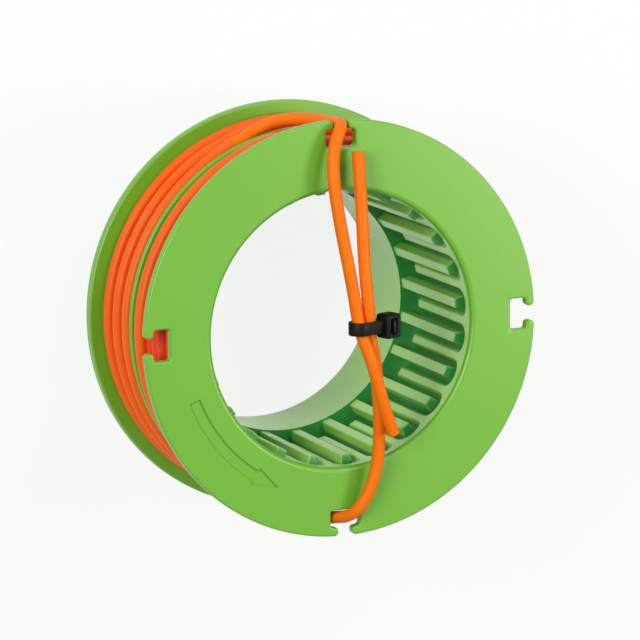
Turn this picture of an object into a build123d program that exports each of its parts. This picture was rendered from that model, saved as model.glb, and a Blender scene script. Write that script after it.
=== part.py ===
from build123d import *
import math
import os

# Spool of trimmer line in mm: axis on Z, rear end on z = 0, notched front face up, 12 o'clock on +Y

# Stack of the moulding along its axis, from the rear end to the front face
tube_length = 12.7
back_flange = 2.1
rear_chamber = 12.9
divider = 1.3
front_chamber = 14.0
front_flange = 2.0

# Moulding across its axis, outwards and inwards from the core that the line is wound on
core_radius = 30.2
chamber_depth = 9.8
divider_inset = 3.1
core_wall = 2.0
tube_wall = 3.0
rim_round = 0.4
mouth_round = 1.0

# Ratchet teeth in the bore: heights stand on the groove, depths are measured back from the front face,
# and the smooth ring behind them rises above the back flange
tooth_count = 24
tooth_width = 1.75
tooth_phase = 5.0
front_tooth_height = 1.6
rear_tooth_height = 2.9
ring_step = 0.3
lip_depth = 2.6
rear_tooth_depth = 4.6
front_tooth_end = 25.0
ring_rise = 0.2
groove_corner = 2.3
groove_step = 0.3

# Line notches in the front flange: a T with its neck at the rim
notch_count = 4
notch_lip = 1.8
notch_depth = 3.3
notch_width = 6.0
neck_width = 2.8
notch_corner = 0.6
neck_outer_round = 0.85
neck_inner_round = 0.75

# Curved winding arrow sunk in the front face
arrow_inset = 7.75
arrow_width = 2.1
arrow_head_width = 3.3
arrow_depth = 0.4
arrow_tail_angle = -159.5
arrow_neck_angle = -124.5
arrow_tip_angle = -115.5

# Line and its two windings: the last turn of each is open where the line end leaves it
line_diameter = 2.4
winding_inset = 2.3
winding_gap = 0.2
turn_sink = 0.6
rear_top_turns = (0, 2, 4)
front_top_turns = (1,)
last_turn_angle = 300
rear_leave_angle = 114
front_leave_angle = 244

# Cable tie round the two line ends
tie_center = (1.82, 1.3, 51.0)
tie_across = (0.942, 0.0, -0.336)
tie_spread = 2.56
tie_clearance = 0.35
tie_thickness = 0.6
tie_width = 2.5
tie_head_length = 3.6
tie_head_width = 4.7
tie_head_height = 3.6
tie_head_back = 0.16
tie_head_round = 0.6
tie_slot_inset = 1.6
tie_tail = 0.3

# Routes of the line ends, chosen point by point
upper_route = [
    (-14.45, 34.0, 26.3),
    (-12.7, 34.8, 26.3),
    (-11.0, 35.7, 26.35),
    (-9.3, 36.69, 26.6),
    (-7.6, 37.59, 27.35),
    (-6.0, 38.28, 28.9),
    (-4.2, 38.82, 31.2),
    (-2.3, 39.03, 34.4),
    (-1.05, 39.09, 37.8),
    (-0.3, 39.15, 41.2),
    (0.0, 39.25, 44.8),
    (-0.55, 38.75, 46.15),
    (-1.5, 37.5, 47.05),
    (-2.35, 35.6, 47.5),
    (-3.0, 32.9, 48.0),
    (-3.2, 28.9, 48.75),
    (-2.75, 23.8, 49.45),
    (-2.0, 18.2, 50.1),
    (-1.05, 12.4, 50.65),
    (-0.25, 7.2, 51.05),
    (0.3, 2.9, 51.25),
    (1.0, -0.5, 51.7),
    (1.9, -3.2, 52.3),
    (2.85, -6.3, 52.6),
    (4.0, -10.4, 52.5),
    (5.6, -15.4, 52.0),
    (7.3, -19.5, 51.4),
]
lower_route = [
    (-15.59, -33.44, 33.2),
    (-13.3, -34.69, 33.75),
    (-10.4, -35.87, 35.6),
    (-6.6, -36.55, 38.4),
    (-3.15, -37.1, 40.8),
    (-1.2, -36.6, 43.0),
    (0.3, -36.2, 45.1),
    (1.45, -35.0, 46.7),
    (2.75, -33.1, 47.5),
    (3.95, -30.5, 47.85),
    (5.0, -27.0, 48.2),
    (5.45, -23.0, 48.6),
    (5.5, -18.5, 48.95),
    (5.3, -13.6, 49.25),
    (4.85, -8.8, 49.5),
    (4.3, -4.6, 49.75),
    (3.2, -0.9, 50.15),
    (2.95, 2.4, 50.75),
    (2.6, 5.8, 51.0),
    (2.3, 10.2, 50.6),
    (2.15, 16.4, 50.0),
    (2.2, 23.0, 49.35),
    (2.1, 29.0, 48.7),
    (2.05, 34.3, 48.2),
]

# Heights and radii worked out from the sizes above
back_flange_top = tube_length + back_flange
rear_chamber_top = back_flange_top + rear_chamber
divider_top = rear_chamber_top + divider
front_chamber_top = divider_top + front_chamber
face_height = front_chamber_top + front_flange
ring_top = back_flange_top + ring_rise
front_tooth_bottom = face_height - front_tooth_end
flange_radius = core_radius + chamber_depth
divider_radius = flange_radius - divider_inset
groove_radius = core_radius - core_wall
lip_radius = groove_radius - front_tooth_height
crest_radius = groove_radius - rear_tooth_height
bore_radius = crest_radius - ring_step
arrow_radius = flange_radius - arrow_inset
winding_radius = flange_radius - winding_inset
line_radius = line_diameter / 2
tooth_angles = [tooth_phase + 360 / tooth_count * i for i in range(tooth_count)]


def annulus(outer, inner):
    return Circle(outer) - Circle(inner)


def turned(points, corners):
    # Solid of revolution about Z from (radius, height) points, with some corners rounded
    face = make_face(Polyline(*points, close=True))
    for point, radius in corners:
        corner = face.vertices().sort_by_distance((point[0], point[1], 0))[0]
        face = fillet(corner, radius)
    return revolve(Plane.XZ * face, Axis.Z)


def core_and_back():
    # Tube, back flange, divider and core wall, hollow along the axis
    tube_radius = bore_radius + tube_wall
    points = [
        (bore_radius, 0),
        (tube_radius, 0),
        (tube_radius, tube_length),
        (flange_radius, tube_length),
        (flange_radius, back_flange_top),
        (core_radius, back_flange_top),
        (core_radius, rear_chamber_top),
        (divider_radius, rear_chamber_top),
        (divider_radius, divider_top),
        (core_radius, divider_top),
        (core_radius, face_height),
        (lip_radius, face_height),
        (lip_radius, front_tooth_bottom),
        (groove_radius + groove_step, front_tooth_bottom),
        (groove_radius + groove_step, ring_top),
        (bore_radius, ring_top),
    ]
    corners = [
        (points[0], rim_round),
        (points[1], rim_round),
        (points[3], rim_round),
        (points[4], rim_round),
        (points[7], rim_round),
        (points[8], rim_round),
        (points[11], mouth_round),
    ]
    return turned(points, corners)


def notch():
    # One T notch on the +X side, open through the rim
    outer = flange_radius - notch_lip
    pocket = Pos(outer - notch_depth / 2, 0) * RectangleRounded(notch_depth, notch_width, notch_corner)
    neck = Pos(outer, 0) * Rectangle(4 * notch_lip, neck_width)
    shape = pocket + neck
    inner_corners = [v for v in shape.vertices() if abs(v.X - outer) < 0.01]
    return fillet(inner_corners, neck_inner_round)


def front_plate():
    # Front flange with its line notches and rounded edges
    plate = annulus(flange_radius, core_radius - core_wall / 2)
    for i in range(notch_count):
        plate -= Rot(0, 0, 360 / notch_count * i) * notch()
    rim_corners = [v for v in plate.vertices() if abs(math.hypot(v.X, v.Y) - flange_radius) < 0.01]
    neck_corners = [v for v in rim_corners if min(abs(v.X), abs(v.Y)) > neck_width / 4]
    plate = fillet(neck_corners, neck_outer_round)
    solid = Pos(0, 0, front_chamber_top) * extrude(plate, front_flange)
    ends = solid.faces().filter_by(Axis.Z)
    edges = [edge for end in ends for edge in end.outer_wire().edges()]
    return fillet(edges, rim_round)


def groove_pockets():
    # Recesses between the front teeth, with round front ends, cut from the bore outwards
    pitch_width = 2 * groove_radius * math.sin(math.pi / tooth_count)
    pocket_width = pitch_width - tooth_width
    top = face_height - lip_depth
    bottom = (front_tooth_bottom + ring_top) / 2
    outline = Pos(0, (top + bottom) / 2) * Rectangle(pocket_width, top - bottom)
    front_corners = outline.vertices().group_by(Axis.Y)[-1]
    outline = fillet(front_corners, groove_corner)
    radial = Plane(origin=(0, 0, 0), x_dir=(0, 1, 0), z_dir=(1, 0, 0))
    cutter = extrude(radial.offset(bore_radius / 2) * outline, groove_radius)
    cutter = cutter & Cylinder(groove_radius, 2 * face_height)
    return [Rot(0, 0, angle) * cutter for angle in tooth_angles]


def rear_teeth():
    # Teeth that run forward from the smooth ring, just clear of its bore
    reach = groove_radius + core_wall / 2
    spokes = [Rot(0, 0, angle) * Pos(reach, 0) * Rectangle(reach, tooth_width) for angle in tooth_angles]
    section = annulus(reach, crest_radius) & (Sketch() + spokes)
    top = face_height - rear_tooth_depth
    return Pos(0, 0, ring_top) * extrude(section, top - ring_top)


def arrow():
    # Curved shaft with a plain head, pointing along the winding direction
    inner = arrow_radius - arrow_width / 2
    outer = arrow_radius + arrow_width / 2

    def at(radius, angle):
        turn = math.radians(angle)
        return (radius * math.cos(turn), radius * math.sin(turn))

    sweep_angle = arrow_neck_angle - arrow_tail_angle
    outer_arc = CenterArc((0, 0), outer, arrow_tail_angle, sweep_angle)
    inner_arc = CenterArc((0, 0), inner, arrow_tail_angle, sweep_angle)
    head = Polyline(
        outer_arc @ 1,
        at(arrow_radius + arrow_head_width / 2, arrow_neck_angle),
        at(arrow_radius, arrow_tip_angle),
        at(arrow_radius - arrow_head_width / 2, arrow_neck_angle),
        inner_arc @ 1,
    )
    tail = Line(inner_arc @ 0, outer_arc @ 0)
    outline = make_face([outer_arc, head, inner_arc, tail])
    return Pos(0, 0, face_height - arrow_depth) * extrude(outline, 2 * arrow_depth)


def spool_body():
    body = core_and_back() + front_plate()
    body = body - groove_pockets()
    body = body + rear_teeth()
    return body - arrow()


def winding(bottom, width, top_turns, leave_angle, way_round):
    # One chamber full of line: a packed core, a row of turns, and the turns that lie on top of it
    low = bottom + winding_gap
    high = bottom + width - winding_gap
    turns = int((high - low) / line_diameter)
    pitch = (high - low - line_diameter) / (turns - 1)
    top_radius = winding_radius - line_radius
    row_radius = top_radius - line_diameter + turn_sink
    inner = core_radius + winding_gap
    section = Pos((inner + row_radius) / 2, (low + high) / 2) * Rectangle(row_radius - inner, high - low)
    for i in range(turns - 1):
        section += Pos(row_radius, low + line_radius + pitch * (i + 0.5)) * Circle(line_radius)
    turn_sections = [Pos(top_radius, low + line_radius + pitch * i) * Circle(line_radius) for i in top_turns]
    for full_turn in turn_sections[:-1]:
        section += full_turn
    last_turn = revolve(Plane.XZ * turn_sections[-1], Axis.Z, way_round * last_turn_angle)
    return revolve(Plane.XZ * section, Axis.Z) + Rot(0, 0, leave_angle) * last_turn


def line_end(name, route):
    # Round line along straight runs joined by the largest arcs that fit
    points = [Vector(*point) for point in route]
    radii = []
    for before, here, after in zip(points, points[1:], points[2:]):
        shorter = min((here - before).length, (after - here).length)
        half_turn = math.radians((here - before).get_angle(after - here) / 2)
        radii.append(0.45 * shorter / math.tan(half_turn))
    path = FilletPolyline(*points, radius=radii)
    section = Plane(origin=path @ 0, z_dir=path % 0) * Circle(line_radius)
    tube = sweep(section, path)
    swept = math.pi * line_radius ** 2 * path.length
    print(name, "length", round(path.length, 1), "volume ratio", round(tube.volume / swept, 4))
    print(name, "arc radii", [round(radius, 1) for radius in radii])
    return tube


def cable_tie():
    # Strap round both lines, the box head that it is fixed to, and the cut tail that leaves the head's front
    across = Plane(origin=tie_center, x_dir=tie_across, z_dir=(0, -1, 0))
    inner_radius = line_radius + tie_clearance
    outer_radius = inner_radius + tie_thickness
    loop = SlotCenterToCenter(tie_spread, 2 * outer_radius) - SlotCenterToCenter(tie_spread, 2 * inner_radius)
    head_start = tie_spread / 2 + inner_radius
    head_middle = head_start + tie_head_length / 2
    fixed_end = Pos(head_middle / 2, inner_radius + tie_thickness / 2) * Rectangle(head_middle, tie_thickness)
    strap = extrude(loop + fixed_end, tie_width / 2, both=True)
    head = Box(tie_head_length, tie_head_height, tie_head_width)
    head = fillet(head.edges().filter_by(Axis.Y) + head.faces().sort_by(Axis.Y)[-1].edges(), tie_head_round)
    head = Pos(head_middle, tie_head_height / 2 - tie_head_back, 0) * head
    tail_length = tie_head_height / 2 + tie_tail
    tail_end = tie_head_height - tie_head_back + tie_tail
    tail = Pos(head_start + tie_slot_inset, tail_end - tail_length / 2, 0) * Box(tie_thickness, tail_length, tie_width)
    return across * (strap + head + tail)


def write_parts():
    nodes = {
        "spool_body": spool_body(),
        "rear_winding": winding(back_flange_top, rear_chamber, rear_top_turns, rear_leave_angle, 1),
        "front_winding": winding(divider_top, front_chamber, front_top_turns, front_leave_angle, -1),
        "upper_line_end": line_end("upper_line_end", upper_route),
        "lower_line_end": line_end("lower_line_end", lower_route),
        "cable_tie": cable_tie(),
    }
    os.makedirs("parts", exist_ok=True)
    for name, solid in nodes.items():
        export_step(solid, f"parts/{name}.step")


write_parts()
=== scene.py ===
import bpy
import math
import random
from mathutils import Matrix, Vector


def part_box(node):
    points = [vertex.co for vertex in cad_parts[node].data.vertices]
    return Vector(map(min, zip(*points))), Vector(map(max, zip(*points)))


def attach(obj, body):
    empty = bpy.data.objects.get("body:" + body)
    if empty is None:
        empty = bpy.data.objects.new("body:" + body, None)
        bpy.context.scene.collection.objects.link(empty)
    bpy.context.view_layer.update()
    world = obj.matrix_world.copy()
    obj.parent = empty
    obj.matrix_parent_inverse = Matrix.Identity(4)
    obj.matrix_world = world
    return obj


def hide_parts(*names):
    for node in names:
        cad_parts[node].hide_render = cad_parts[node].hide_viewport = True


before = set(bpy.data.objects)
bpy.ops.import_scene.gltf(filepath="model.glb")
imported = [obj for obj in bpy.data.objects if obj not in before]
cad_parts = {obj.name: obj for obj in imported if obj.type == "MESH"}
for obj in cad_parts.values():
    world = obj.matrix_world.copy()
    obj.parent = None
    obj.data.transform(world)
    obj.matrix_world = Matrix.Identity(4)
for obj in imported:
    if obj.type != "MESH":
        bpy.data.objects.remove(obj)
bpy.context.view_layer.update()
mm = 0.001
near = 0.01                        # mm within which a point lies on a plane
weld = 0.002                       # mm within which points are merged
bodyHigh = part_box("spool_body")[1]
faceHeight = bodyHigh[2] / mm      # front face above the floor
flangeRadius = bodyHigh[0] / mm
lineRadius = 1.2
print("frame loaded, face at", round(faceHeight, 2), "mm")


# small helpers that stand in for the mouse

def activate(piece):
    bpy.ops.object.select_all(action="DESELECT")
    piece.select_set(True)
    bpy.context.view_layer.objects.active = piece


def applyModifier(piece, kind, **settings):
    activate(piece)
    modifier = piece.modifiers.new(kind.title(), kind)
    for key, value in settings.items():
        setattr(modifier, key, value)
    bpy.ops.object.modifier_apply(modifier=modifier.name)


def sketchPiece(name, points, edges, faces=()):
    mesh = bpy.data.meshes.new(name)
    mesh.from_pydata([Vector(p) * mm for p in points], edges, faces)
    piece = bpy.data.objects.new(name, mesh)
    bpy.context.collection.objects.link(piece)
    return piece


def joinPieces(pieces):
    activate(pieces[0])
    for other in pieces[1:]:
        other.select_set(True)
    bpy.ops.object.join()
    return pieces[0]


def cutWith(piece, cutter, operation):
    applyModifier(piece, "BOOLEAN", operation=operation, solver="EXACT", object=cutter)
    bpy.data.objects.remove(cutter)


def cleanShell(piece):
    activate(piece)
    bpy.ops.object.mode_set(mode="EDIT")
    bpy.ops.mesh.select_all(action="SELECT")
    bpy.ops.mesh.remove_doubles(threshold=weld * mm)
    bpy.ops.mesh.dissolve_degenerate(threshold=weld * mm)
    bpy.ops.mesh.normals_make_consistent(inside=False)
    bpy.ops.object.mode_set(mode="OBJECT")


def bothAt(a, b, axis, place):
    # an edge's two ends, in mm, on one plane
    return abs(a[axis] - place) < near and abs(b[axis] - place) < near


def polar(radius, degrees, z):
    turn = math.radians(degrees)
    return (radius * math.cos(turn), radius * math.sin(turn), z)


def roundCorners(points, radii, steps, closed=True):
    # flat outline with its corners turned into arcs
    result = []
    count = len(points)
    for i, (corner, radius) in enumerate(zip(points, radii)):
        here = Vector(corner)
        if radius <= 0 or (not closed and i in (0, count - 1)):
            result.append(here)
            continue
        back = (Vector(points[i - 1]) - here).normalized()
        ahead = (Vector(points[(i + 1) % count]) - here).normalized()
        half = back.angle(ahead) / 2
        middle = here + (back + ahead).normalized() * (radius / math.sin(half))
        start = here + back * (radius / math.tan(half)) - middle
        end = here + ahead * (radius / math.tan(half)) - middle
        for step in range(steps + 1):
            result.append(middle + start.slerp(end, step / steps) * radius)
    return result


# moulded spool

spool = {
    "steps": 240,              # facets round the axis, ten to a tooth pitch
    "tubeLength": 12.7, "tubeRadius": 28.0, "boreRadius": 25.0, "crestRadius": 25.3,
    "backFlange": 2.1, "rearChamber": 12.9, "divider": 1.3, "dividerRadius": 36.9,
    "frontFlange": 2.0, "coreRadius": 30.2, "lipRadius": 26.6, "mouthRound": 1.0,
    "edgeRound": 0.4, "seamRadius": 34.0,
    "toothCount": 24, "toothPhase": 5.0, "toothWidth": 1.95, "toothFlare": 1.35, "toothEdge": 0.3,
    "toothRoot": 0.8,          # depth of a tooth's foot inside the wall
    "grooveRadius": 28.2, "grooveStep": 0.3, "grooveCorner": 2.3,
    "pocketWidth": 5.61, "pocketEdge": 0.25, "pocketOver": 2.0,
    "lipDepth": 2.6, "rearToothDepth": 4.6, "frontToothEnd": 25.0, "ringDepth": 30.0,
}
notch = {
    "count": 4, "lip": 1.8, "depth": 3.3, "width": 6.0, "neck": 2.8,
    "corner": 0.6, "outerRound": 0.85, "innerRound": 0.75,
}
arrow = {
    "radius": 32.25, "width": 2.1, "headWidth": 3.3, "depth": 0.4, "edge": 0.14,
    "tail": -159.5, "neck": -124.5, "tip": -115.5, "steps": 24,
    "headGrow": 1.6, "tipGrow": 2.0,      # the head's slanted sides grow by more than the shaft's
}


def turnedCore():
    # everything that is round about the axis, spun from one profile
    s = spool
    backTop = s["tubeLength"] + s["backFlange"]
    dividerLow = backTop + s["rearChamber"]
    dividerTop = dividerLow + s["divider"]
    plateLow = faceHeight - s["frontFlange"]
    ringTop = faceHeight - s["ringDepth"]
    toothEnd = faceHeight - s["frontToothEnd"]
    edge = s["edgeRound"]
    corners = [
        (s["seamRadius"], faceHeight, 0),
        (s["lipRadius"], faceHeight, s["mouthRound"]),
        (s["lipRadius"], toothEnd, 0),
        (s["grooveRadius"] + s["grooveStep"], toothEnd, 0),
        (s["grooveRadius"] + s["grooveStep"], ringTop, 0),
        (s["boreRadius"], ringTop, 0),
        (s["boreRadius"], 0, edge),
        (s["tubeRadius"], 0, edge),
        (s["tubeRadius"], s["tubeLength"], edge),
        (flangeRadius, s["tubeLength"], edge),
        (flangeRadius, backTop, edge),
        (s["coreRadius"], backTop, edge),
        (s["coreRadius"], dividerLow, edge),
        (s["dividerRadius"], dividerLow, edge),
        (s["dividerRadius"], dividerTop, edge),
        (s["coreRadius"], dividerTop, edge),
        (s["coreRadius"], plateLow, edge),
        (s["seamRadius"], plateLow, 0),
    ]
    outline = roundCorners([(r, z) for r, z, _ in corners], [c[2] for c in corners], 5, closed=False)
    points = [(p.x, 0, p.y) for p in outline]
    piece = sketchPiece("spoolBody", points, [(i, i + 1) for i in range(len(points) - 1)])
    activate(piece)
    bpy.ops.object.mode_set(mode="EDIT")
    bpy.ops.mesh.select_all(action="SELECT")
    bpy.ops.mesh.spin(steps=s["steps"], angle=math.tau, center=(0, 0, 0), axis=(0, 0, 1))
    bpy.ops.mesh.select_all(action="SELECT")
    bpy.ops.mesh.remove_doubles(threshold=weld * mm)
    bpy.ops.object.mode_set(mode="OBJECT")
    return piece


def rimOutline():
    # rim of the front flange with its T notches, as one closed line
    n = notch
    outer = flangeRadius - n["lip"]
    inner = outer - n["depth"]
    rimX = math.sqrt(flangeRadius ** 2 - (n["neck"] / 2) ** 2)
    half = [
        (rimX, n["neck"] / 2, n["outerRound"]),
        (outer, n["neck"] / 2, n["innerRound"]),
        (outer, n["width"] / 2, n["corner"]),
        (inner, n["width"] / 2, n["corner"]),
    ]
    cut = [(x, -y, r) for x, y, r in half] + [(x, y, r) for x, y, r in reversed(half)]
    pitch = 360 / n["count"]
    neckAngle = math.degrees(math.asin(n["neck"] / 2 / flangeRadius))
    rimSteps = 44
    points = []
    for k in range(n["count"]):
        for x, y, r in cut:
            turned = Matrix.Rotation(math.radians(pitch * k), 2) @ Vector((x, y))
            points.append((turned.x, turned.y, r))
        for i in range(1, rimSteps):
            angle = pitch * k + neckAngle + (pitch - 2 * neckAngle) * i / rimSteps
            x, y, _ = polar(flangeRadius, angle, 0)
            points.append((x, y, 0))
    return roundCorners([(x, y) for x, y, _ in points], [p[2] for p in points], 6)


def notchedRim():
    # outline carried from the lower edge round to the upper edge, with both edges rounded
    outline = rimOutline()
    count = len(outline)
    inward = []
    for i, here in enumerate(outline):
        before = (here - outline[i - 1]).normalized()
        after = (outline[(i + 1) % count] - here).normalized()
        bisector = (before + after).normalized()
        stretch = 1 / max(0.5, before.dot(bisector))
        inward.append(Vector((-bisector.y, bisector.x)) * stretch)
    edge = spool["edgeRound"]
    low = faceHeight - spool["frontFlange"]
    arcSteps = 4
    levels = []
    for i in range(arcSteps + 1):
        turn = math.pi / 2 * i / arcSteps
        levels.append((edge * (1 - math.sin(turn)), low + edge * (1 - math.cos(turn))))
    for i in range(arcSteps + 1):
        turn = math.pi / 2 * i / arcSteps
        levels.append((edge * (1 - math.cos(turn)), faceHeight - edge * (1 - math.sin(turn))))
    points = []
    faces = []
    for inset, z in levels:
        for here, normal in zip(outline, inward):
            moved = here + normal * inset
            points.append((moved.x, moved.y, z))
    for level in range(len(levels) - 1):
        for i in range(count):
            a = level * count + i
            b = level * count + (i + 1) % count
            faces.append((a, b, b + count, a + count))
    return sketchPiece("rim", points, [], faces)


def closePlate(piece):
    # the flat front and back of the flange, between the notched rim and the turned core
    for z in (faceHeight, faceHeight - spool["frontFlange"]):
        activate(piece)
        bpy.ops.object.mode_set(mode="EDIT")
        bpy.ops.mesh.select_mode(type="EDGE")
        bpy.ops.mesh.select_all(action="DESELECT")
        bpy.ops.mesh.select_non_manifold(extend=False, use_wire=False, use_multi_face=False,
                                         use_non_contiguous=False, use_verts=False)
        bpy.ops.object.mode_set(mode="OBJECT")
        mesh = piece.data
        for edge in mesh.edges:
            a, b = (mesh.vertices[v].co / mm for v in edge.vertices)
            edge.select = edge.select and bothAt(a, b, 2, z)
        bpy.ops.object.mode_set(mode="EDIT")
        bpy.ops.mesh.fill(use_beauty=True)
        bpy.ops.object.mode_set(mode="OBJECT")
    activate(piece)
    bpy.ops.object.mode_set(mode="EDIT")
    bpy.ops.mesh.select_all(action="SELECT")
    bpy.ops.mesh.normals_make_consistent(inside=False)
    bpy.ops.object.mode_set(mode="OBJECT")


def blockAt(name, low, high):
    size = [(b - a) * mm for a, b in zip(low, high)]
    middle = [(a + b) / 2 * mm for a, b in zip(low, high)]
    bpy.ops.object.select_all(action="DESELECT")
    bpy.ops.mesh.primitive_cube_add(size=1, location=middle, scale=size)
    block = bpy.context.object
    block.name = name
    bpy.ops.object.transform_apply(location=True, rotation=True, scale=True)
    return block


def bevelEdges(piece, wanted, offset, segments):
    # rounds the sharp edges whose two ends, in mm, pass the test
    activate(piece)
    bpy.ops.object.mode_set(mode="EDIT")
    bpy.ops.mesh.select_mode(type="EDGE")
    bpy.ops.mesh.select_all(action="DESELECT")
    bpy.ops.mesh.edges_select_sharp(sharpness=math.radians(40))
    bpy.ops.object.mode_set(mode="OBJECT")
    mesh = piece.data
    for edge in mesh.edges:
        a, b = (mesh.vertices[v].co / mm for v in edge.vertices)
        edge.select = edge.select and wanted(a, b)
    bpy.ops.object.mode_set(mode="EDIT")
    bpy.ops.mesh.bevel(offset=offset * mm, segments=segments, affect="EDGES", clamp_overlap=False)
    bpy.ops.object.mode_set(mode="OBJECT")


def ringOf(block, count, phase):
    # copies of one block round the axis, joined
    copies = [block]
    for k in range(1, count):
        copy = block.copy()
        copy.data = block.data.copy()
        bpy.context.collection.objects.link(copy)
        copies.append(copy)
    for k, copy in enumerate(copies):
        turn = Matrix.Rotation(math.radians(phase + 360 / count * k), 4, "Z")
        copy.data.transform(turn)
    return joinPieces(copies)


def groovePockets():
    s = spool
    top = faceHeight - s["lipDepth"]
    low = faceHeight - (s["frontToothEnd"] + s["ringDepth"]) / 2
    half = s["pocketWidth"] / 2
    block = blockAt("pocket", (s["boreRadius"] - s["pocketOver"], -half, low), (s["grooveRadius"], half, top))
    bevelEdges(block, lambda a, b: bothAt(a, b, 2, top) and abs(a.y - b.y) < near, s["grooveCorner"], 8)
    return ringOf(block, s["toothCount"], s["toothPhase"])


def rearTeeth():
    s = spool
    ringTop = faceHeight - s["ringDepth"]
    top = faceHeight - s["rearToothDepth"]
    half = s["toothWidth"] / 2
    inner = s["crestRadius"]
    block = blockAt("tooth", (inner, -half, ringTop), (s["grooveRadius"] + s["toothRoot"], half, top))
    for corner in block.data.vertices:
        if corner.co.x / mm > s["grooveRadius"]:
            corner.co.y *= s["toothFlare"]      # mould draft: wider at its foot

    def crest(a, b):
        onTop = bothAt(a, b, 0, inner) and not bothAt(a, b, 2, ringTop)
        frontSide = bothAt(a, b, 2, top) and abs(a.y - b.y) < near
        return onTop or frontSide

    bevelEdges(block, crest, s["toothEdge"], 3)
    return ringOf(block, s["toothCount"], s["toothPhase"])


def arrowOutline(grow):
    a = arrow
    steps = a["steps"]
    slip = math.degrees(grow / a["radius"])
    sweep = [a["tail"] - slip + (a["neck"] - a["tail"]) * i / steps for i in range(steps + 1)]
    half = a["width"] / 2 + grow
    headHalf = a["headWidth"] / 2 + a["headGrow"] * grow
    outline = [polar(a["radius"] + half, angle, 0) for angle in sweep]
    outline.append(polar(a["radius"] + headHalf, a["neck"] - slip, 0))
    outline.append(polar(a["radius"], a["tip"] + a["tipGrow"] * slip, 0))
    outline.append(polar(a["radius"] - headHalf, a["neck"] - slip, 0))
    outline += [polar(a["radius"] - half, angle, 0) for angle in reversed(sweep)]
    return outline


def arrowCutter():
    # sunken arrow whose upper edges lean outwards, so that they catch the light
    a = arrow
    levels = [(faceHeight - a["depth"], 0), (faceHeight - a["edge"], 0),
              (faceHeight, a["edge"]), (faceHeight + a["depth"], a["edge"])]
    points = [(x, y, z) for z, grow in levels for x, y, _ in arrowOutline(grow)]
    count = len(points) // len(levels)
    last = len(levels) - 1
    faces = [tuple(reversed(range(count))), tuple(range(last * count, len(points)))]
    for level in range(last):
        for i in range(count):
            low = level * count + i
            ahead = level * count + (i + 1) % count
            faces.append((low, ahead, ahead + count, low + count))
    return sketchPiece("arrowCutter", points, [], faces)


def makeSpool():
    piece = joinPieces([turnedCore(), notchedRim()])
    closePlate(piece)
    cutWith(piece, groovePockets(), "DIFFERENCE")
    belowMouth = faceHeight - 1.5 * spool["mouthRound"]

    def onLip(a, b):
        return all(abs(math.hypot(p.x, p.y) - spool["lipRadius"]) < 2 * near and p.z < belowMouth for p in (a, b))

    bevelEdges(piece, onLip, spool["pocketEdge"], 2)
    cutWith(piece, rearTeeth(), "UNION")
    cutWith(piece, arrowCutter(), "DIFFERENCE")
    cleanShell(piece)
    bpy.ops.object.shade_smooth_by_angle(angle=math.radians(35))
    applyModifier(piece, "WEIGHTED_NORMAL", mode="FACE_AREA", weight=90, keep_sharp=True)
    return piece


spoolBody = makeSpool()
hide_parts("spool_body")
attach(spoolBody, "root")
print("spool body", len(spoolBody.data.polygons), "faces")


# free line ends, led out of the notches and tied together

lineEnds = {
    "upper": {
        "node": "upper_line_end", "length": 0.0899,
        "route": [
            (-14.45, 34.0, 26.3), (-12.7, 34.8, 26.3), (-11.0, 35.7, 26.35), (-9.3, 36.69, 26.6),
            (-7.6, 37.59, 27.35), (-6.0, 38.28, 28.9), (-4.2, 38.82, 31.2), (-2.3, 39.03, 34.4),
            (-1.05, 39.09, 37.8), (-0.3, 39.15, 41.2), (0.0, 39.25, 44.8), (-0.55, 38.75, 46.15),
            (-1.5, 37.5, 47.05), (-2.35, 35.6, 47.5), (-3.0, 32.9, 48.0), (-3.2, 28.9, 48.75),
            (-2.75, 23.8, 49.45), (-2.0, 18.2, 50.1), (-1.05, 12.4, 50.65), (-0.25, 7.2, 51.05),
            (0.3, 2.9, 51.25), (1.0, -0.5, 51.7), (1.9, -3.2, 52.3), (2.85, -6.3, 52.6),
            (4.0, -10.4, 52.5), (5.6, -15.4, 52.0), (7.3, -19.5, 51.4),
        ],
    },
    "lower": {
        "node": "lower_line_end", "length": 0.0939,
        "route": [
            (-15.59, -33.44, 33.2), (-14.3, -34.13, 33.2), (-12.6, -34.98, 33.45), (-10.6, -35.8, 34.6),
            (-8.4, -36.35, 36.5), (-5.9, -36.8, 38.7), (-3.15, -37.1, 40.8), (-1.2, -36.6, 43.0),
            (0.3, -36.2, 45.1), (1.45, -35.0, 46.7), (2.75, -33.1, 47.5), (3.95, -30.5, 47.85),
            (5.0, -27.0, 48.2), (5.45, -23.0, 48.6), (5.5, -18.5, 48.95), (5.3, -13.6, 49.25),
            (4.85, -8.8, 49.5), (4.3, -4.6, 49.75), (3.2, -0.9, 50.15), (2.95, 2.4, 50.75),
            (2.6, 5.8, 51.0), (2.3, 10.2, 50.6), (2.15, 16.4, 50.0), (2.2, 23.0, 49.35),
            (2.1, 29.0, 48.7), (2.05, 34.3, 48.2),
        ],
    },
}


def lineCurve(name, points, order=3):
    curve = bpy.data.curves.new(name, "CURVE")
    curve.dimensions = "3D"
    spline = curve.splines.new("NURBS")
    spline.points.add(len(points) - 1)
    for slot, point in zip(spline.points, points):
        slot.co = (point[0] * mm, point[1] * mm, point[2] * mm, 1)
        slot.radius = lineRadius * mm      # the bevel takes its size from here, so the curve's box stays true
    spline.order_u = order
    spline.use_endpoint_u = True
    spline.resolution_u = 6
    curve.bevel_depth = 1
    curve.bevel_resolution = 4
    curve.use_fill_caps = True
    piece = bpy.data.objects.new(name, curve)
    bpy.context.collection.objects.link(piece)
    return piece


def makeLineEnd(name, end):
    piece = lineCurve(name + "Line", end["route"])
    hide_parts(end["node"])
    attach(piece, "root")
    return piece


upperLine = makeLineEnd("upper", lineEnds["upper"])
lowerLine = makeLineEnd("lower", lineEnds["lower"])
print("line ends laid")


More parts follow.
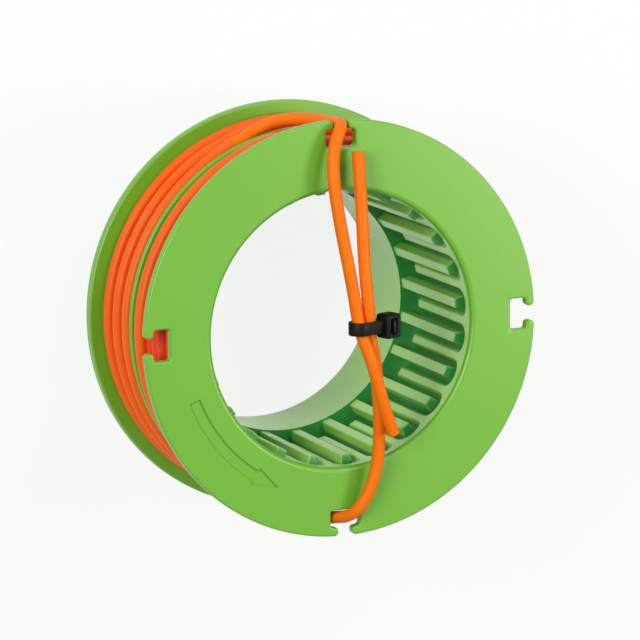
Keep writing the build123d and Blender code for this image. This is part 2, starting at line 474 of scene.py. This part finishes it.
# windings: packed turns below, a row of turns on them, and loose turns on top that run into the free ends

coil = {
    "inner": 30.4, "underRadius": 33.5, "rowRadius": 34.7, "topRadius": 36.5, "wallGap": 0.2, "turns": 5,
    "step": 9, "jog": 45, "lift": 0.4, "wander": 0.05, "leadIn": (32.0, 33.2, 34.2),
    "stopShort": 1.3, "straight": 2.5, "joint": 0.01,      # where the last turn runs into the free end
    # the last colour is painted shade for the line deep between the turns
    "arcSteps": 8, "spinSteps": 96, "paintedShade": (0.75, 0.03, 0.003, 1),
}
rearCoil = {"name": "rearWinding", "node": "rear_winding", "way": -1, "jogFrom": 65, "topTurns": (0, 2, 4),
            "free": "upper", "seed": 11}
frontCoil = {"name": "frontWinding", "node": "front_winding", "way": 1, "jogFrom": 255, "topTurns": (1,),
             "free": "lower", "seed": 12}


def ease(mix):
    mix = min(1, max(0, mix))
    return mix * mix * (3 - 2 * mix)


def packedTurns(levels, low, high):
    # the turns under the row, spun as one scalloped ring
    c = coil
    steps = c["arcSteps"]
    profile = [(c["inner"], low)]
    for z in levels:
        for i in range(steps + 1):
            turn = math.pi * (i / steps - 0.5)
            profile.append((c["underRadius"] + lineRadius * math.cos(turn), z + lineRadius * math.sin(turn)))
    profile.append((c["inner"], high))
    count = len(profile)
    edges = [(i, (i + 1) % count) for i in range(count)]
    piece = sketchPiece("packedTurns", [(r, 0, z) for r, z in profile], edges)
    activate(piece)
    bpy.ops.object.mode_set(mode="EDIT")
    bpy.ops.mesh.select_all(action="SELECT")
    bpy.ops.mesh.spin(steps=c["spinSteps"], angle=math.tau, center=(0, 0, 0), axis=(0, 0, 1))
    bpy.ops.object.mode_set(mode="OBJECT")
    cleanShell(piece)
    return piece


def coilPath(turns, way, jogFrom, route, seed):
    # the line walks round each turn, steps over to the next one, and ends where the free end begins
    c = coil
    draw = random.Random(seed)
    start = jogFrom + way * c["jog"]
    out = Vector(route[0])
    along = (Vector(route[1]) - out).normalized()
    lastArc = way * (math.degrees(math.atan2(out.y, out.x)) - start) % 360
    total = 360 * (len(turns) - 1) + lastArc - c["stopShort"] * c["step"]
    keep = 3 / (2 + math.cos(math.radians(c["step"])))      # a spline runs inside its control points
    points = []
    for k, radius in enumerate(c["leadIn"]):
        angle = start - way * c["step"] * (len(c["leadIn"]) - k)
        points.append(polar(radius, angle, turns[0][1]))
    for i in range(int(total / c["step"]) + 1):
        travel = total * i / int(total / c["step"])
        k = min(int(travel / 360), len(turns) - 1)
        radius, z = turns[k]
        if k < len(turns) - 1:
            mix = ease((travel - 360 * (k + 1) + c["jog"]) / c["jog"])
            nextRadius, nextZ = turns[k + 1]
            radius += (nextRadius - radius) * mix
            z += (nextZ - z) * mix
            if turns[k][0] == c["topRadius"]:
                radius += c["lift"] * 4 * mix * (1 - mix)
        radius += draw.uniform(-1, 1) * c["wander"]
        z += draw.uniform(-1, 1) * c["wander"]
        points.append(polar(radius * keep, start + way * travel, z))
    points.append(out - along * c["straight"])
    points.append(out - along * c["joint"])
    return points


def makeWinding(side, floor, ceiling):
    c = coil
    low = floor + c["wallGap"]
    high = ceiling - c["wallGap"]
    pitch = (high - low - 2 * lineRadius) / (c["turns"] - 1)
    levels = [low + lineRadius + pitch * i for i in range(c["turns"])]
    row = [(c["rowRadius"], z + pitch / 2) for z in reversed(levels[:-1])]
    top = [(c["topRadius"], levels[i]) for i in side["topTurns"]]
    path = coilPath(row + top, side["way"], side["jogFrom"], lineEnds[side["free"]]["route"], side["seed"])
    strand = lineCurve("strand", path, 4)
    strand.data.splines[0].resolution_u = 2
    activate(strand)
    bpy.ops.object.convert(target="MESH")
    strand = bpy.context.object
    cleanShell(strand)
    piece = joinPieces([packedTurns(levels, low, high), strand])
    piece.name = side["name"]
    activate(piece)
    bpy.ops.object.shade_smooth_by_angle(angle=math.radians(40))
    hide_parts(side["node"])
    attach(piece, "root")
    return piece


backTop = spool["tubeLength"] + spool["backFlange"]
dividerLow = backTop + spool["rearChamber"]
dividerTop = dividerLow + spool["divider"]
rearWinding = makeWinding(rearCoil, backTop, dividerLow)
frontWinding = makeWinding(frontCoil, dividerTop, faceHeight - spool["frontFlange"])
print("windings", len(rearWinding.data.polygons), len(frontWinding.data.polygons), "faces")


# cable tie round both line ends

tie = {
    "center": (1.82, 1.3, 51.0), "across": (0.942, 0.0, -0.336), "spread": 2.56,
    "inner": 1.55, "thickness": 0.6, "width": 2.5, "edge": 0.12,
    "headLength": 3.6, "headWidth": 4.7, "headHeight": 3.6, "headBack": 0.16, "headRound": 0.6,
    "slotLength": 1.7, "slotWidth": 3.1, "slotRound": 0.35, "slotDepth": 0.7,
    "slotInset": 1.6, "tail": 0.25, "tailRoot": 1.5, "tailWidth": 2.4, "tailEdge": 0.08,
}


def tieLoop():
    # band round both lines: two half rounds and two flats
    t = tie
    half = t["spread"] / 2
    steps = 16
    profile = []
    for k, side in enumerate((1, -1)):
        for i in range(steps + 1):
            turn = math.pi * i / steps - math.pi / 2 + math.pi * k
            profile.append((side * half, math.cos(turn), math.sin(turn)))
    count = len(profile)
    points = []
    faces = []
    outer = t["inner"] + t["thickness"]
    section = ((t["inner"], -1), (outer, -1), (outer, 1), (t["inner"], 1))
    for radius, side in section:
        for x, cosine, sine in profile:
            points.append((x + radius * cosine, radius * sine, side * t["width"] / 2))
    for k in range(len(section)):
        here = k * count
        ahead = (k + 1) % len(section) * count
        for i in range(count):
            following = (i + 1) % count
            faces.append((here + i, here + following, ahead + following, ahead + i))
    band = sketchPiece("band", points, [], faces)
    cleanShell(band)
    applyModifier(band, "BEVEL", width=t["edge"] * mm, segments=2,
                  limit_method="ANGLE", angle_limit=math.radians(60))
    return band


def tieHead():
    # box with soft edges, a slot in its front and the cut end of the strap in the slot
    t = tie
    start = t["spread"] / 2 + t["inner"]
    low = -t["headBack"]
    high = low + t["headHeight"]
    middle = start + t["slotInset"]
    head = blockAt("head", (start, low, -t["headWidth"] / 2),
                   (start + t["headLength"], high, t["headWidth"] / 2))
    bevelEdges(head, lambda a, b: max(a.y, b.y) > high - near, t["headRound"], 4)
    slot = blockAt("slot", (middle - t["slotLength"] / 2, high - t["slotDepth"], -t["slotWidth"] / 2),
                   (middle + t["slotLength"] / 2, high + 1, t["slotWidth"] / 2))
    bevelEdges(slot, lambda a, b: abs(a.y - b.y) > 0.5, t["slotRound"], 3)
    cutWith(head, slot, "DIFFERENCE")
    bevelEdges(head, lambda a, b: min(a.y, b.y) > high - near, t["edge"], 2)
    tail = blockAt("tail", (middle - t["thickness"] / 2, high - t["tailRoot"], -t["tailWidth"] / 2),
                   (middle + t["thickness"] / 2, high + t["tail"], t["tailWidth"] / 2))
    bevelEdges(tail, lambda a, b: max(a.y, b.y) > high, t["tailEdge"], 2)
    cutWith(head, tail, "UNION")
    return head


def makeTie():
    t = tie
    piece = tieLoop()
    end = t["spread"] / 2 + t["inner"] + t["headLength"] / 2
    fixedEnd = blockAt("fixedEnd", (0, t["inner"], -t["width"] / 2),
                       (end, t["inner"] + t["thickness"], t["width"] / 2))
    bevelEdges(fixedEnd, lambda a, b: abs(a.x - b.x) > 1, t["edge"], 2)
    cutWith(piece, fixedEnd, "UNION")
    cutWith(piece, tieHead(), "UNION")
    cleanShell(piece)
    piece.name = "cableTie"
    xAxis = Vector(t["across"]).normalized()
    zAxis = Vector((0, -1, 0))
    yAxis = zAxis.cross(xAxis)
    place = Matrix((xAxis, yAxis, zAxis)).transposed().to_4x4()
    place.translation = Vector(t["center"]) * mm
    piece.data.transform(place)
    activate(piece)
    bpy.ops.object.shade_smooth_by_angle(angle=math.radians(40))
    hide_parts("cable_tie")
    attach(piece, "root")
    return piece


cableTie = makeTie()
print("cable tie closed")


# finishes

green = {
    "marks": {"Light": (0.155, 0.455, 0.024, 1), "Dark": (0.135, 0.425, 0.02, 1),
              "Cloud Size": 45, "Grain Size": 3000, "Gloss Low": 0.3, "Gloss High": 0.4},
    "bump": 0.00003, "shine": 0.6,
}
orange = {
    "marks": {"Light": (0.96, 0.2, 0.003, 1), "Dark": (0.93, 0.17, 0.002, 1),
              "Cloud Size": 120, "Grain Size": 1800, "Gloss Low": 0.36, "Gloss High": 0.48},
    "bump": 0.00002, "shine": 0.15,
}
# painted shade: the wound line is a darker, redder copy of the orange line's finish
shadedWound = {
    "marks": dict(orange["marks"], Light=(0.94, 0.155, 0.003, 1), Dark=(0.9, 0.13, 0.002, 1)),
    "bump": 0.00002, "shine": 0.25,
}
black = {
    "marks": {"Light": (0.004, 0.004, 0.004, 1), "Dark": (0.002, 0.002, 0.002, 1),
              "Cloud Size": 200, "Grain Size": 4000, "Gloss Low": 0.36, "Gloss High": 0.5},
    "bump": 0.00003, "shine": 0.15,
}
bore = {
    "ringMargin": 0.5, "grooveMargin": 0.6, "blend": 0.1,      # how far the polish, the painted highlight and the painted shade reach past its walls
    "streaks": (2600, 2600, 120), "coatLow": 0.25, "coatHigh": 0.65, "coatRoughness": 0.22,
    "crest": 26.8, "floor": 27.8,                              # radii from the painted highlight on the crests to the painted shade in the pockets
    # the pale colour is a painted highlight on the ring and the crests, the dark green one painted shade in the
    # pockets and on the tooth ends
    "pale": (0.38, 0.7, 0.13, 1), "paintedShade": (0.03, 0.3, 0.055, 1),
}


def feed(tree, socket, value):
    # an output is linked, anything else is typed in
    if isinstance(value, bpy.types.NodeSocket):
        tree.links.new(value, socket)
    else:
        socket.default_value = value


def mathNode(tree, operation, first, second):
    node = tree.nodes.new("ShaderNodeMath")
    node.operation = operation
    feed(tree, node.inputs[0], first)
    feed(tree, node.inputs[1], second)
    return node.outputs["Value"]


def rangeNode(tree, value, fromMin, fromMax, toMin=0, toMax=1, curve="LINEAR"):
    node = tree.nodes.new("ShaderNodeMapRange")
    node.interpolation_type = curve
    feed(tree, node.inputs["Value"], value)
    feed(tree, node.inputs["From Min"], fromMin)
    feed(tree, node.inputs["From Max"], fromMax)
    feed(tree, node.inputs["To Min"], toMin)
    feed(tree, node.inputs["To Max"], toMax)
    return node.outputs["Result"]


def mixNode(tree, factor, first, second):
    node = tree.nodes.new("ShaderNodeMix")
    node.data_type = "RGBA"
    feed(tree, node.inputs["Factor"], factor)
    feed(tree, node.inputs["A"], first)
    feed(tree, node.inputs["B"], second)
    return node.outputs["Result"]


def noiseNode(tree, vector, scale, detail):
    node = tree.nodes.new("ShaderNodeTexNoise")
    feed(tree, node.inputs["Vector"], vector)
    feed(tree, node.inputs["Scale"], scale)
    feed(tree, node.inputs["Detail"], detail)
    return node.outputs["Fac"]


def nodeGroup(name, inputs, outputs):
    group = bpy.data.node_groups.new(name, "ShaderNodeTree")
    for label, kind, value in inputs:
        socket = group.interface.new_socket(label, in_out="INPUT", socket_type=kind)
        socket.default_value = value
    for label, kind in outputs:
        group.interface.new_socket(label, in_out="OUTPUT", socket_type=kind)
    return group


def makeMouldMarks():
    # cloudy tone, fine grain and gloss patches of a moulded surface
    group = nodeGroup(
        "mouldMarks",
        [("Light", "NodeSocketColor", (1, 1, 1, 1)), ("Dark", "NodeSocketColor", (0, 0, 0, 1)),
         ("Cloud Size", "NodeSocketFloat", 60.0), ("Grain Size", "NodeSocketFloat", 2500.0),
         ("Gloss Low", "NodeSocketFloat", 0.35), ("Gloss High", "NodeSocketFloat", 0.5)],
        [("Color", "NodeSocketColor"), ("Roughness", "NodeSocketFloat"), ("Height", "NodeSocketFloat")])
    given = group.nodes.new("NodeGroupInput").outputs
    result = group.nodes.new("NodeGroupOutput").inputs
    place = group.nodes.new("ShaderNodeTexCoord").outputs["Object"]
    cloud = noiseNode(group, place, given["Cloud Size"], 4)
    grain = noiseNode(group, place, given["Grain Size"], 2)
    feed(group, result["Color"], mixNode(group, cloud, given["Light"], given["Dark"]))
    feed(group, result["Roughness"], rangeNode(group, grain, 0, 1, given["Gloss Low"], given["Gloss High"]))
    feed(group, result["Height"], grain)
    return group


def makeAxisPlace():
    # distance from the spool's axis and height along it
    group = nodeGroup("axisPlace", [], [("Distance", "NodeSocketFloat"), ("Height", "NodeSocketFloat")])
    result = group.nodes.new("NodeGroupOutput").inputs
    place = group.nodes.new("ShaderNodeTexCoord").outputs["Object"]
    flat = group.nodes.new("ShaderNodeVectorMath")
    flat.operation = "MULTIPLY"
    flat.inputs[1].default_value = (1, 1, 0)
    distance = group.nodes.new("ShaderNodeVectorMath")
    distance.operation = "LENGTH"
    split = group.nodes.new("ShaderNodeSeparateXYZ")
    feed(group, flat.inputs[0], place)
    feed(group, distance.inputs[0], flat.outputs["Vector"])
    feed(group, split.inputs["Vector"], place)
    feed(group, result["Distance"], distance.outputs["Value"])
    feed(group, result["Height"], split.outputs["Z"])
    return group


mouldMarks = makeMouldMarks()
axisPlace = makeAxisPlace()


def groupNode(tree, group):
    node = tree.nodes.new("ShaderNodeGroup")
    node.node_tree = group
    return node


def makeFinish(name, look):
    material = bpy.data.materials.new(name)
    material.use_nodes = True
    tree = material.node_tree
    principled = tree.nodes["Principled BSDF"]
    marks = groupNode(tree, mouldMarks)
    for key, value in look["marks"].items():
        marks.inputs[key].default_value = value
    bump = tree.nodes.new("ShaderNodeBump")
    bump.inputs["Distance"].default_value = look["bump"]
    bump.inputs["Strength"].default_value = 0.4
    feed(tree, bump.inputs["Height"], marks.outputs["Height"])
    feed(tree, principled.inputs["Base Color"], marks.outputs["Color"])
    feed(tree, principled.inputs["Roughness"], marks.outputs["Roughness"])
    feed(tree, principled.inputs["Normal"], bump.outputs["Normal"])
    principled.inputs["Specular IOR Level"].default_value = look["shine"]
    return material


def polishBoreAndPaintLight(material):
    # the mould's core is polished along the axis: a streaky coat inside the bore, below its mouth. The ring and
    # the crests get a painted highlight, the pockets and the tooth ends painted shade
    tree = material.node_tree
    principled = tree.nodes["Principled BSDF"]
    axis = groupNode(tree, axisPlace).outputs
    place = tree.nodes.new("ShaderNodeTexCoord").outputs
    # up to the ring's top only its inner wall counts, not the tube's outside
    ringTop = faceHeight - spool["ringDepth"]
    reach = rangeNode(tree, axis["Height"], (ringTop - bore["blend"]) * mm, ringTop * mm,
                      (spool["boreRadius"] + bore["ringMargin"]) * mm,
                      (spool["grooveRadius"] + bore["grooveMargin"]) * mm)
    inside = mathNode(tree, "LESS_THAN", axis["Distance"], reach)
    below = mathNode(tree, "LESS_THAN", axis["Height"], (faceHeight - spool["mouthRound"]) * mm)
    inBore = mathNode(tree, "MULTIPLY", inside, below)
    stretch = tree.nodes.new("ShaderNodeMapping")
    stretch.inputs["Scale"].default_value = bore["streaks"]
    feed(tree, stretch.inputs["Vector"], place["Object"])
    streaks = noiseNode(tree, stretch.outputs["Vector"], 1, 3)
    weight = rangeNode(tree, streaks, 0.3, 0.7, bore["coatLow"], bore["coatHigh"])
    feed(tree, principled.inputs["Coat Weight"], mathNode(tree, "MULTIPLY", weight, inBore))
    principled.inputs["Coat Roughness"].default_value = bore["coatRoughness"]
    # painted highlight: the smooth ring and the crests of all teeth are painted paler, standing in for light
    # inside the bore
    surface = principled.inputs["Base Color"].links[0].from_socket
    low, high = bore["crest"] * mm, bore["floor"] * mm
    crest = rangeNode(tree, axis["Distance"], low, high, 1, 0, "SMOOTHSTEP")
    pale = mixNode(tree, mathNode(tree, "MULTIPLY", crest, inBore), surface, bore["pale"])
    # painted shade: the pockets are painted a deeper green, and so are the faces towards the mouth: tooth ends
    # and the steps between, where the lip shades them
    pocket = rangeNode(tree, axis["Distance"], low, high, 0, 1, "SMOOTHSTEP")
    split = tree.nodes.new("ShaderNodeSeparateXYZ")
    feed(tree, split.inputs["Vector"], place["Normal"])
    facing = rangeNode(tree, split.outputs["Z"], 0.5, 0.9)
    paintedShade = mathNode(tree, "MULTIPLY", mathNode(tree, "MAXIMUM", pocket, facing), inBore)
    feed(tree, principled.inputs["Base Color"], mixNode(tree, paintedShade, pale, bore["paintedShade"]))


def paintShadeBetweenTurns(material):
    # painted shade: the line between the turns is painted a darker red than on top of them
    tree = material.node_tree
    principled = tree.nodes["Principled BSDF"]
    surface = principled.inputs["Base Color"].links[0].from_socket
    distance = groupNode(tree, axisPlace).outputs["Distance"]
    height = rangeNode(tree, distance, coil["rowRadius"] * mm, (coil["topRadius"] + lineRadius) * mm,
                       0, 1, "SMOOTHSTEP")
    feed(tree, principled.inputs["Base Color"], mixNode(tree, height, coil["paintedShade"], surface))


greenFinish = makeFinish("greenPlastic", green)
polishBoreAndPaintLight(greenFinish)
orangeFinish = makeFinish("orangeLine", orange)
shadedWoundFinish = makeFinish("shadedWoundLine", shadedWound)
paintShadeBetweenTurns(shadedWoundFinish)
blackFinish = makeFinish("blackNylon", black)


def paint(piece, material):
    piece.data.materials.clear()
    piece.data.materials.append(material)


for piece, finish in ((spoolBody, greenFinish), (rearWinding, shadedWoundFinish), (frontWinding, shadedWoundFinish),
                      (upperLine, orangeFinish), (lowerLine, orangeFinish), (cableTie, blackFinish)):
    paint(piece, finish)
print("finishes set")


# studio: pale floor, soft lamps, and the camera at the photograph's angle

studio = {
    "spin": -0.78,             # turn of the photographed spool about its axis, degrees
    "camera": (-330.9, 154.9, 820.8), "right": (0.9219, 0.0, 0.3875), "up": (0.0692, 0.9839, -0.1646),
    "forward": (0.3813, -0.1785, -0.9071), "lens": 255.3,
    "floor": 0.9, "world": 0.2, "pale": 0.85,
    "lamps": {                 # place, size, watts and colour
        "key": ((0.18, 0.5, 0.55), 0.25, 1.5, (1, 0.98, 0.94)),
        "side": ((0.3, 0.02, 0.42), 0.16, 0.9, (1, 0.93, 0.75)),
        "fill": ((-0.6, 0.22, 0.6), 0.4, 4.2, (1, 1, 1)),
    },
    "aim": (0, 0, 0.03),
}


def seenRays(tree):
    # 1 for rays from the camera, or by reflection or through glass
    path = tree.nodes.new("ShaderNodeLightPath").outputs
    seen = path["Is Camera Ray"]
    for label in ("Is Glossy Ray", "Is Transmission Ray"):
        seen = mathNode(tree, "MAXIMUM", seen, path[label])
    return seen


def makeFloor():
    bpy.ops.object.select_all(action="DESELECT")
    bpy.ops.mesh.primitive_plane_add(size=6)
    floor = bpy.context.object
    floor.name = "floor"
    material = bpy.data.materials.new("paleFloor")
    material.use_nodes = True
    tree = material.node_tree
    principled = tree.nodes["Principled BSDF"]
    principled.inputs["Base Color"].default_value = (studio["floor"], studio["floor"], studio["floor"], 1)
    principled.inputs["Roughness"].default_value = 0.9
    principled.inputs["Specular IOR Level"].default_value = 0.1
    glow = tree.nodes.new("ShaderNodeEmission")
    mix = tree.nodes.new("ShaderNodeMixShader")
    feed(tree, mix.inputs["Fac"], mathNode(tree, "MULTIPLY", seenRays(tree), studio["pale"]))
    feed(tree, mix.inputs[1], principled.outputs["BSDF"])
    feed(tree, mix.inputs[2], glow.outputs["Emission"])
    feed(tree, tree.nodes["Material Output"].inputs["Surface"], mix.outputs["Shader"])
    paint(floor, material)


def makeLamp(name, location, size, energy, color):
    lamp = bpy.data.lights.new(name, "AREA")
    lamp.shape = "DISK"
    lamp.size = size
    lamp.energy = energy
    lamp.color = color
    holder = bpy.data.objects.new(name, lamp)
    holder.location = location
    aim = Vector(studio["aim"]) - Vector(location)
    holder.rotation_euler = aim.to_track_quat("-Z", "Y").to_euler()
    bpy.context.collection.objects.link(holder)


def makeCamera():
    spin = Matrix.Rotation(math.radians(studio["spin"]), 3, "Z")
    right, up, forward = (spin @ Vector(studio[key]).normalized() for key in ("right", "up", "forward"))
    camera = bpy.data.cameras.new("camera")
    camera.lens = studio["lens"]
    camera.sensor_width = 36
    camera.clip_start = 0.01
    camera.clip_end = 20
    holder = bpy.data.objects.new("camera", camera)
    place = Matrix((right, up, -forward)).transposed().to_4x4()
    place.translation = spin @ (Vector(studio["camera"]) * mm)
    holder.matrix_world = place
    bpy.context.collection.objects.link(holder)
    bpy.context.scene.camera = holder


def makeWorld():
    world = bpy.data.worlds.new("studio")
    bpy.context.scene.world = world
    world.use_nodes = True
    tree = world.node_tree
    background = tree.nodes["Background"]
    background.inputs["Color"].default_value = (1, 1, 1, 1)
    feed(tree, background.inputs["Strength"], rangeNode(tree, seenRays(tree), 0, 1, studio["world"], 1))


makeFloor()
for name, lamp in studio["lamps"].items():
    makeLamp(name, *lamp)
makeWorld()
makeCamera()
bpy.context.scene.view_settings.view_transform = "Standard"
print("studio ready")
